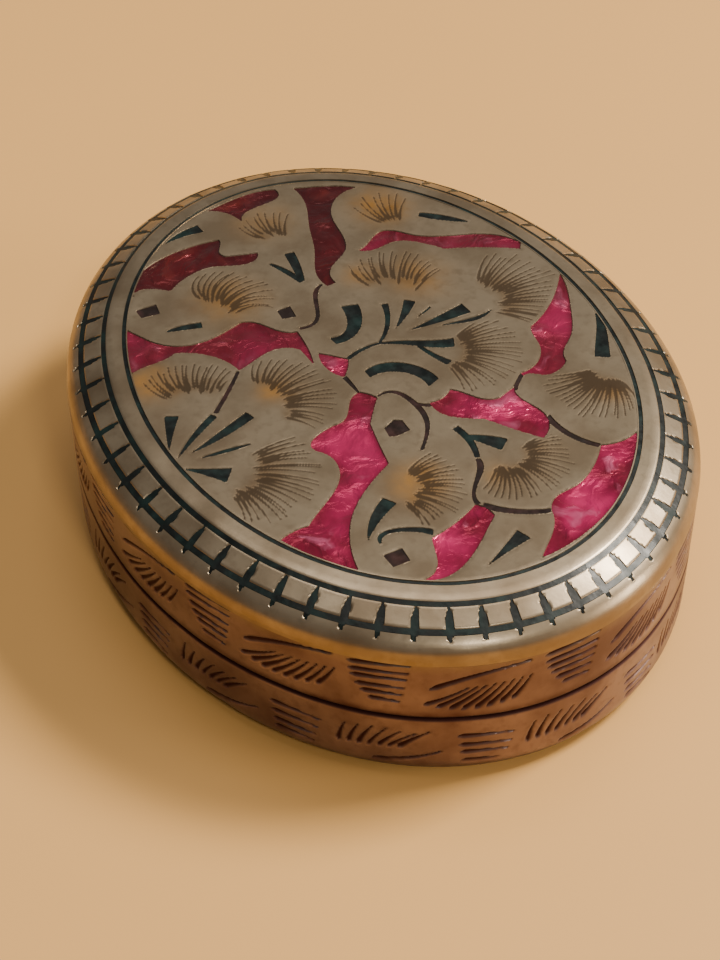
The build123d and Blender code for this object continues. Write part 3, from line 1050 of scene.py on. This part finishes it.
    def build_lining(self) -> None:
        """The inner face of the lid's top: a swept profile carried in to the middle."""
        angles, _ = oval_angles(360)
        corners = [(0.76, RIM_Z + 4.45), (0.8, 10.4), (2.86, 11.95), (4.3, FIELD_Z - 0.8)]
        ring = rounded(corners, 0.4, 0.2)
        points = swept(ring, angles)
        shrink = np.linspace(1, 0, 14)[1:, None, None] * np.array([1.0, 1.0, 0.0])
        inner = points[-1:] * shrink + np.array([0, 0, ring[-1, 1]])
        dents = 0.03 * ripple(inner[..., 0], inner[..., 1], size=5.0, seed=31)
        inner[..., 2] -= np.abs(dents) * np.linspace(0, 1, len(inner))[:, None]
        inner[-1, :, 2] = inner[-1, 0, 2]
        points = np.concatenate([points, inner])
        piece = build_grid("lid_lining", points, Side.DOWN, wrap_columns=True)
        weld_centre(piece)
        finish_piece(piece, "lid", "underside_brass", UNDER_METAL.material(), ("lid_top_plate",))


@dataclass
class EnamelIslands:
    """The coloured enamel in the field, one glossy cushion to each island."""

    cell: float = 0.11
    margin: float = 0.1
    sunk: float = 0.115
    wet_height: float = 0.035
    wet_reach: float = 0.16
    # Reach of the painted shade inwards from the island's edge.
    edge_shade_reach: float = 0.32
    crumple_height: float = 0.032

    def build(self, name: str) -> None:
        """One island: level just below the field, with a raised edge where it wets the metal, slow
        waves across it, and painted shade along its edge."""
        outline = Outline.of_nodes([name], FIELD_Z - 0.1)
        low, high = outline.starts.min(0) - 0.3, outline.starts.max(0) + 0.3
        xs, ys = (np.arange(low[k], high[k], self.cell) for k in range(2))
        inside = outline.inside_grid(xs, ys)
        gap, _, _ = outline.nearest(xs, ys, 3.0)
        depth_in = np.where(inside, gap, -gap)
        x, y = np.meshgrid(xs, ys, indexing="ij")
        wet = self.wet_height * np.exp(-np.maximum(depth_in, 0) / self.wet_reach)
        seed = 50 + sum(ord(letter) for letter in name)
        crumple = ripple(x, y, 0.9, seed) + 0.7 * np.abs(ripple(x, y, 1.7, seed + 1))
        wave = self.crumple_height * crumple * smooth(depth_in / 0.5)
        z = np.minimum(FIELD_Z - self.sunk + wet + wave, FIELD_Z - 0.02)
        # The rim attribute is painted shade, strongest at the island's edge.
        tones = {"rim": np.exp(-np.maximum(depth_in, 0) / self.edge_shade_reach)}
        points = np.stack([x, y, z], -1)
        pool = name.replace("enamel_", "enamel_pool_")
        piece = build_grid(pool, points, Side.UP, keep=depth_in > -self.margin, attributes=tones)
        enamel = CRIMSON if name in CRIMSON_ISLANDS else PINK
        finish_piece(piece, "lid", enamel.name, enamel.material(), (name,))

    def build_all(self) -> None:
        """Every island."""
        for name in sorted(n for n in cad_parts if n.startswith("enamel_")):
            self.build(name)


# ---- walls


@dataclass
class Graver:
    """The hand that cuts the walls: a leaf fan and a block of level strokes, over and over.

    Attributes:
        draw: the hand's unevenness.
        girth: length of the wall.
        first: where the first fan starts.
        repeats: how many times the fan and the block come round.
    """

    draw: np.random.Generator
    girth: float
    first: float
    repeats: int = 12

    def starts(self, sway: float) -> Iterator[float]:
        """Where each fan starts, along the wall."""
        for k in range(self.repeats):
            yield self.first + k * self.girth / self.repeats + self.draw.uniform(-sway, sway)

    def near(self, width: float) -> float:
        """A width a little off the wanted one."""
        return width * self.draw.uniform(0.8, 1.2)

    def lid_strokes(self) -> list[Stroke]:
        """The strokes of the lid's wall, as distance along it and height over its rim."""
        strokes = []
        for start in self.starts(0.35):
            lift = self.draw.uniform(-0.15, 0.15)
            low, high = (start + 0.1, 2.7 + lift), (start + 6.0, 4.35 + lift)
            strokes.append(Stroke(low, high, 0.5, 0.35, 0.2))
            for i in range(8):
                low = (start - 0.2 + 0.75 * i, 1.35 - 0.45 * math.sin(i / 7 * math.pi) + lift)
                high = (start + 2.3 + 0.55 * i, 2.75 + 0.1 * i / 2 + lift)
                strokes.append(Stroke(low, high, self.near(0.5), -0.08, 0.14))
            for i in range(6):
                height = 4.45 - 0.6 * i + self.draw.uniform(-0.08, 0.08)
                low = (start + 7.0 + 0.05 * i * i, height - 0.1)
                high = (start + 10.7 - 0.12 * i, height + 0.12 - 0.06 * i)
                strokes.append(Stroke(low, high, self.near(0.46), 0.05, 0.16))
        return strokes

    def base_strokes(self) -> list[Stroke]:
        """The same for the base's wall, where heights are under its rim and so below zero."""
        strokes = []
        for start in self.starts(0.3):
            strokes.append(Stroke((start + 1.9, -4.0), (start + 6.0, -2.9), 0.45, -0.2, 0.16))
            for i in range(7):
                high = (start + 0.1 + 0.86 * i, -1.25 + self.draw.uniform(-0.15, 0.15))
                low = (start - 0.3 + 0.62 * i, -3.0 + 0.05 * i)
                strokes.append(Stroke(low, high, self.near(0.46), 0.06, 0.14))
            for i in range(4):
                height = -1.6 - 0.72 * i + self.draw.uniform(-0.08, 0.08)
                low, high = (start + 7.0 + 0.1 * i, height), (start + 10.4 - 0.15 * i, height - 0.12)
                strokes.append(Stroke(low, high, 0.44, 0.06, 0.15))
        return strokes


@dataclass
class Wall:
    """A swept wall strip with graver strokes on its outer face; heights are from its datum."""

    name: str
    body: str
    slot: str
    profile: Array
    strokes: list[Stroke]
    datum: float
    metal: Metal
    stands_for: tuple[str, ...]
    columns: int = 1400
    cut_depth: float = 0.13
    outer_inset: float = 0.6
    wave_depth: float = 0.02
    most_out: float = 0.015
    # Heights over which painted shade fades out upwards from the lower edge.
    low_edge_shade: Point | None = None
    # Heights over which the lip at the seam fades from painted shade.
    lip: Point | None = None
    sheen: Point = (3.7, 5.1)

    def build(self) -> None:
        """The strip as a closed ring, its outer face set in by the depth of each stroke."""
        angles, distance = oval_angles(self.columns)
        height = self.profile[:, 1:2] - self.datum
        s = np.broadcast_to(distance[None], (len(self.profile), self.columns))
        h = np.broadcast_to(height, s.shape)
        outer = np.broadcast_to(self.profile[:, :1] < self.outer_inset, s.shape)
        girth = oval_girth()
        cut = np.zeros(s.shape)
        for stroke in self.strokes:
            cut = np.maximum(cut, stroke.mark(s, h, girth))
        cut = smooth(cut) * outer
        wave = self.wave_depth * np.maximum(ripple(s, h, size=3.0, seed=77), -0.4) * outer
        wave = wave * smooth(np.minimum(distance, girth - distance) / 2.0)
        points = swept(self.profile, angles, self.cut_depth * cut + np.maximum(wave, -self.most_out))
        # Painted shade: darker towards the lower edge, at the seam on the lid and at the foot on the
        # base.
        low_edge_shade = np.zeros(s.shape) if self.low_edge_shade is None else 1 - ramp(h, *self.low_edge_shade)
        # Painted shade on the lip at the seam, in the cut colour.
        if self.lip is not None:
            cut = np.maximum(cut, 1 - ramp(h, *self.lip))
        # Here the edge attribute is painted shade, and the cut attribute also holds the painted shade
        # of the seam lip.
        tones = {"cut": cut, "edge": low_edge_shade, "smoke": ramp(h, *self.sheen)}
        piece = build_grid(
            self.name, points, Side.SHELL, True, wrap_rows=True, attributes=tones, crease=50
        )
        finish_piece(piece, self.body, self.slot, self.metal.material(), self.stands_for)


def lid_wall_profile() -> Array:
    """Round the lid's wall strip: up its outer face, over the top edge and down its inner face."""
    outer = [(0.0, RIM_Z + z) for z in np.linspace(0.3, 4.6, 50)]
    lip = arc((0.26, RIM_Z + 0.26), 0.26, 270, 180, 6)[:-1]
    inner = [(WALL - 0.02, RIM_Z + 4.6), (WALL, RIM_Z + 4.5), (WALL, RIM_Z + 0.2)]
    return np.array(lip + outer + inner + arc((WALL - 0.12, RIM_Z + 0.12), 0.12, 0, -90, 4))


def base_wall_profile() -> Array:
    """Round the base's wall strip: its turned-in lower edge, its outer face, its rim, its inner
    face down to the bottom plate."""
    lower = arc((1.6, 1.6), 1.6, 270, 180, 14)
    outer = [(0.0, z) for z in np.linspace(1.7, BASE_RIM_Z - 0.24, 37)]
    rim = arc((0.24, BASE_RIM_Z - 0.24), 0.24, 180, 90, 6)[1:]
    inner = [(COLLAR_INSET - 0.02, BASE_RIM_Z), (COLLAR_INSET, BASE_RIM_Z - 0.1)]
    foot = [(COLLAR_INSET, 0.8), (1.9, 0.8)]
    return np.array([(1.9, 0.0)] + lower + outer + rim + inner + foot)


def collar_profile() -> Array:
    """Round the collar strip, with a rolled top edge."""
    low, high, half = 0.82, COLLAR_Z - 0.25, 0.25
    rolled = arc((COLLAR_INSET + half, high), half, 180, 0, 9)
    outer = [(COLLAR_INSET, z) for z in np.linspace(low, high, 14)][:-1]
    inside = [(COLLAR_INSET + 2 * half, z) for z in np.linspace(high, low, 10)][1:]
    return np.array(outer + rolled + inside)


# ---- nodes that stay


def dress_nodes() -> None:
    """Gives the nodes that stay as they are their finishes."""
    finishes = {
        TEAL_FILL: (*BORDER_FILLS, *TEAL_INLAYS),
        RED_FILL: RED_INLAYS,
        UNDER_METAL: ("base_bottom_plate",),
    }
    for finish, names in finishes.items():
        material = finish.material()
        for name in names:
            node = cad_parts[name]
            node.data.materials.clear()
            node.data.materials.append(material)
            log.info("%s: finished as %s", name, finish.name)


# ---- the room


@dataclass
class Studio:
    """Floor, lights and camera."""

    eye: Place = (0.0908, -0.0422, 0.0966)
    aim: Place = (0.00289, -0.00247, 0.0055)
    lens: float = 75.1
    roll: float = -0.28
    floor_tone: Colour = (0.77, 0.42, 0.125)
    lit: Place = (0, 0, 0.008)

    def build_floor(self) -> None:
        """A plain pale floor."""
        xs = np.linspace(-900, 900, 13)
        x, y = np.meshgrid(xs, xs, indexing="ij")
        floor = build_grid("floor", np.stack([x, y, 0 * x], -1), Side.UP)
        made, bench = new_material("pale_floor")
        cloud = bench.spread(bench.noise(Waves.FLOOR, 2.0), 0.3, 0.7)
        darker = tuple(0.95 * c for c in self.floor_tone)
        bench.surface(Base_Color=bench.mix(cloud, self.floor_tone, darker), Roughness=0.55)
        floor.data.materials.append(made)
        floor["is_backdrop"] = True

    def add_light(self, name: str, place: Place, size: Point, power: float, tone: Colour) -> None:
        """A soft rectangular light that looks at the box."""
        data = bpy.data.lights.new(name, "AREA")
        data.shape = "RECTANGLE"
        data.size, data.size_y = size
        data.energy = power
        data.color = tone
        lamp = add_object(name, data)
        lamp.location = place
        way = Vector(self.lit) - Vector(place)
        lamp.rotation_euler = way.to_track_quat("-Z", "Y").to_euler()

    def build_lights(self) -> None:
        """A soft key and a side light from behind on the right, a broad light overhead, a small
        one in front for the glints, and a dim room."""
        self.add_light("key", (0.02, 0.42, 0.46), (0.18, 0.16), 5.6, (1.0, 0.92, 0.80))
        self.add_light("overhead", (-0.10, 0.04, 0.6), (0.36, 0.36), 1.1, (1.0, 0.92, 0.82))
        self.add_light("glint", (0.34, -0.02, 0.34), (0.07, 0.04), 0.5, (1.0, 0.95, 0.82))
        self.add_light("side", (0.30, 0.42, 0.14), (0.16, 0.12), 1.1, (1.0, 0.88, 0.72))
        world = bpy.data.worlds.new("soft_room")
        world.use_nodes = True
        sky = world.node_tree.nodes["Background"].inputs
        sky["Color"].default_value = (1.0, 0.94, 0.87, 1)
        sky["Strength"].default_value = 0.17
        bpy.context.scene.world = world

    def build_camera(self) -> None:
        """The camera, turned a little about its own axis."""
        data = bpy.data.cameras.new("camera")
        data.lens = self.lens
        data.sensor_width = 36.0
        data.clip_start = 0.005
        camera = add_object("camera", data)
        way = Vector(self.aim) - Vector(self.eye)
        roll = Matrix.Rotation(math.radians(self.roll), 3, "Z")
        turn = way.to_track_quat("-Z", "Y").to_matrix() @ roll
        camera.matrix_world = Matrix.Translation(Vector(self.eye)) @ turn.to_4x4()
        bpy.context.scene.camera = camera

    def build(self) -> None:
        """Everything around the box."""
        self.build_floor()
        self.build_lights()
        self.build_camera()


def build_walls() -> None:
    """The lid's wall, the base's wall and the collar."""
    girth = oval_girth()
    lid_hand = Graver(np.random.default_rng(8), girth, -19.3)
    base_hand = Graver(np.random.default_rng(9), girth, -13.0)
    side = "worn_brass_side"
    # Lid and base walls get painted shade along their lower edge and on their lips at the seam.
    for wall in (
        Wall(
            "lid_wall_strip", "lid", side, lid_wall_profile(), lid_hand.lid_strokes(), RIM_Z,
            BRASS_SIDE, ("lid_wall_band",), low_edge_shade=(0.1, 0.8), lip=(0.08, 0.26),
        ),
        Wall(
            "base_wall_strip", "base", side, base_wall_profile(), base_hand.base_strokes(),
            BASE_RIM_Z, BRASS_SIDE, ("base_wall_band",), low_edge_shade=(-5.2, -3.9), lip=(-0.06, -0.24),
        ),
        Wall(
            "collar_strip", "base", "collar_brass", collar_profile(), [], BASE_RIM_Z,
            COLLAR_METAL, ("inner_collar",), columns=720,
        ),
    ):
        wall.build()


def main() -> None:
    """Builds the pieces in order."""
    top = LidTop()
    top.build_field()
    top.build_border()
    top.build_lining()
    EnamelIslands().build_all()
    build_walls()
    dress_nodes()
    Studio().build()
    boxes = {"cad": CAD_BOX, "visual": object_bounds()}
    {key: [list(corner) for corner in box] for key, box in boxes.items()}


if __name__ == "__main__":
    main()
